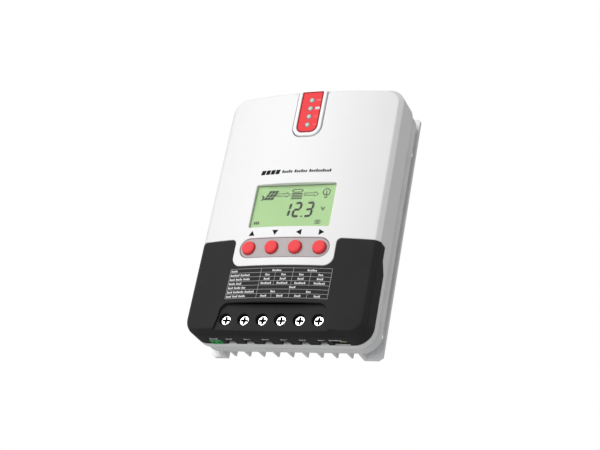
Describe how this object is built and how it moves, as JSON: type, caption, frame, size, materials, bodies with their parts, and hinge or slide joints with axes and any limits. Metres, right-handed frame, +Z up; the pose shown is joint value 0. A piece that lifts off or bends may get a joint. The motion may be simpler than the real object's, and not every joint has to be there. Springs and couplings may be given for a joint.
{
  "type": "charge controller",
  "caption": "Wall-mounted solar charge controller: two-tone housing on a finned heat sink, with a display, keypad, indicator strip and bottom wire terminals.",
  "frame": {"origin": "middle of the wall plane, halfway across and halfway up the rear faces of the two mounting flanges", "axes": "+X to the right as the front is faced, +Y into the wall (the front looks along -Y), +Z up, from the wire terminals to the indicator strip"},
  "size_m": [0.17, 0.0666, 0.2411],
  "materials": {
    "cast_aluminium": "satin die-cast, faintly grained",
    "white_plastic": "fine satin texture",
    "black_plastic": "fine satin texture",
    "bezel_white": "smooth",
    "red_label": "smooth printed film",
    "light_pipe": "clear, polished",
    "clear_window": "polished",
    "lcd_green": "smooth",
    "grey_membrane": "fine texture",
    "red_plastic": "moulded, semi-gloss",
    "board_green": "solder mask",
    "ribbon_grey": "flat",
    "nylon_black": "moulded",
    "nylon_green": "moulded, semi-gloss",
    "nylon_beige": "moulded",
    "plated_steel": "bright plated",
    "clamp_metal": "zinc plated",
    "brass": "bright, drawn",
    "wound_core": "enamelled winding",
    "capacitor_can": "shrink sleeve",
    "pad_grey": "soft"
  },
  "bodies": {
    "housing": {"heat_sink": "cast_aluminium", "upper_cover": "white_plastic", "terminal_cover": "black_plastic", "led_bezel": "bezel_white", "led_label": "red_label", "light_pipe_1": "light_pipe", "light_pipe_2": "light_pipe", "light_pipe_3": "light_pipe", "light_pipe_4": "light_pipe", "led_board": "board_green", "lcd_window": "clear_window", "lcd_panel": "lcd_green", "keypad_plate": "grey_membrane", "tact_switch_up": "nylon_black", "tact_switch_down": "nylon_black", "tact_switch_left": "nylon_black", "tact_switch_right": "nylon_black", "display_board": "board_green", "display_cable": "ribbon_grey", "main_board": "board_green", "terminal_block": "nylon_black", "temp_socket": "nylon_green", "serial_socket": "nylon_black", "serial_contacts": "nylon_beige", "inductor_1": "wound_core", "inductor_2": "wound_core", "capacitor_1": "capacitor_can", "capacitor_2": "capacitor_can", "capacitor_3": "capacitor_can", "thermal_pad_left": "pad_grey", "mosfet_left": "nylon_black", "thermal_pad_right": "pad_grey", "mosfet_right": "nylon_black", "standoff_1": "brass", "standoff_2": "brass", "standoff_3": "brass", "standoff_4": "brass", "cover_screw_1": "plated_steel", "cover_screw_2": "plated_steel", "cover_screw_3": "plated_steel", "cover_screw_4": "plated_steel"},
    "button_up": {"button_up": "red_plastic"},
    "button_down": {"button_down": "red_plastic"},
    "button_left": {"button_left": "red_plastic"},
    "button_right": {"button_right": "red_plastic"},
    "terminal_screw_1": {"terminal_screw_1": "plated_steel"},
    "terminal_screw_2": {"terminal_screw_2": "plated_steel"},
    "terminal_screw_3": {"terminal_screw_3": "plated_steel"},
    "terminal_screw_4": {"terminal_screw_4": "plated_steel"},
    "terminal_screw_5": {"terminal_screw_5": "plated_steel"},
    "terminal_screw_6": {"terminal_screw_6": "plated_steel"},
    "terminal_clamp_1": {"terminal_clamp_1": "clamp_metal"},
    "terminal_clamp_2": {"terminal_clamp_2": "clamp_metal"},
    "terminal_clamp_3": {"terminal_clamp_3": "clamp_metal"},
    "terminal_clamp_4": {"terminal_clamp_4": "clamp_metal"},
    "terminal_clamp_5": {"terminal_clamp_5": "clamp_metal"},
    "terminal_clamp_6": {"terminal_clamp_6": "clamp_metal"},
    "temp_plug": {"temp_plug": "nylon_green"}
  },
  "joints": [
    {"name": "up_press", "type": "slide", "parent": "housing", "child": "button_up", "axis": [0, 1, 0], "range_m": [0, 0.0008], "stiffness_N_per_m": 600},
    {"name": "down_press", "type": "slide", "parent": "housing", "child": "button_down", "axis": [0, 1, 0], "range_m": [0, 0.0008], "stiffness_N_per_m": 600},
    {"name": "left_press", "type": "slide", "parent": "housing", "child": "button_left", "axis": [0, 1, 0], "range_m": [0, 0.0008], "stiffness_N_per_m": 600},
    {"name": "right_press", "type": "slide", "parent": "housing", "child": "button_right", "axis": [0, 1, 0], "range_m": [0, 0.0008], "stiffness_N_per_m": 600},
    {"name": "screw_1_turn", "type": "hinge", "parent": "housing", "child": "terminal_screw_1", "pos_m": [-0.0445, -0.0559, -0.1073], "axis": [0, 1, 0], "range_deg": [0, 1801]},
    {"name": "screw_2_turn", "type": "hinge", "parent": "housing", "child": "terminal_screw_2", "pos_m": [-0.0271, -0.0559, -0.1073], "axis": [0, 1, 0], "range_deg": [0, 1801]},
    {"name": "screw_3_turn", "type": "hinge", "parent": "housing", "child": "terminal_screw_3", "pos_m": [-0.0097, -0.0559, -0.1073], "axis": [0, 1, 0], "range_deg": [0, 1801]},
    {"name": "screw_4_turn", "type": "hinge", "parent": "housing", "child": "terminal_screw_4", "pos_m": [0.0077, -0.0559, -0.1073], "axis": [0, 1, 0], "range_deg": [0, 1801]},
    {"name": "screw_5_turn", "type": "hinge", "parent": "housing", "child": "terminal_screw_5", "pos_m": [0.0251, -0.0559, -0.1073], "axis": [0, 1, 0], "range_deg": [0, 1801]},
    {"name": "screw_6_turn", "type": "hinge", "parent": "housing", "child": "terminal_screw_6", "pos_m": [0.0425, -0.0559, -0.1073], "axis": [0, 1, 0], "range_deg": [0, 1801]},
    {"name": "clamp_1_rise", "type": "slide", "parent": "housing", "child": "terminal_clamp_1", "axis": [0, -1, 0], "range_m": [0, 0.004]},
    {"name": "clamp_2_rise", "type": "slide", "parent": "housing", "child": "terminal_clamp_2", "axis": [0, -1, 0], "range_m": [0, 0.004]},
    {"name": "clamp_3_rise", "type": "slide", "parent": "housing", "child": "terminal_clamp_3", "axis": [0, -1, 0], "range_m": [0, 0.004]},
    {"name": "clamp_4_rise", "type": "slide", "parent": "housing", "child": "terminal_clamp_4", "axis": [0, -1, 0], "range_m": [0, 0.004]},
    {"name": "clamp_5_rise", "type": "slide", "parent": "housing", "child": "terminal_clamp_5", "axis": [0, -1, 0], "range_m": [0, 0.004]},
    {"name": "clamp_6_rise", "type": "slide", "parent": "housing", "child": "terminal_clamp_6", "axis": [0, -1, 0], "range_m": [0, 0.004]},
    {"name": "temp_plug_pull", "type": "slide", "parent": "housing", "child": "temp_plug", "axis": [0, 0, -1], "range_m": [0, 0.008]}
  ],
  "couplings": [
    {"joint": "screw_1_turn", "follows": "clamp_1_rise", "rad_per_m": 7854},
    {"joint": "screw_2_turn", "follows": "clamp_2_rise", "rad_per_m": 7854},
    {"joint": "screw_3_turn", "follows": "clamp_3_rise", "rad_per_m": 7854},
    {"joint": "screw_4_turn", "follows": "clamp_4_rise", "rad_per_m": 7854},
    {"joint": "screw_5_turn", "follows": "clamp_5_rise", "rad_per_m": 7854},
    {"joint": "screw_6_turn", "follows": "clamp_6_rise", "rad_per_m": 7854}
  ]
}
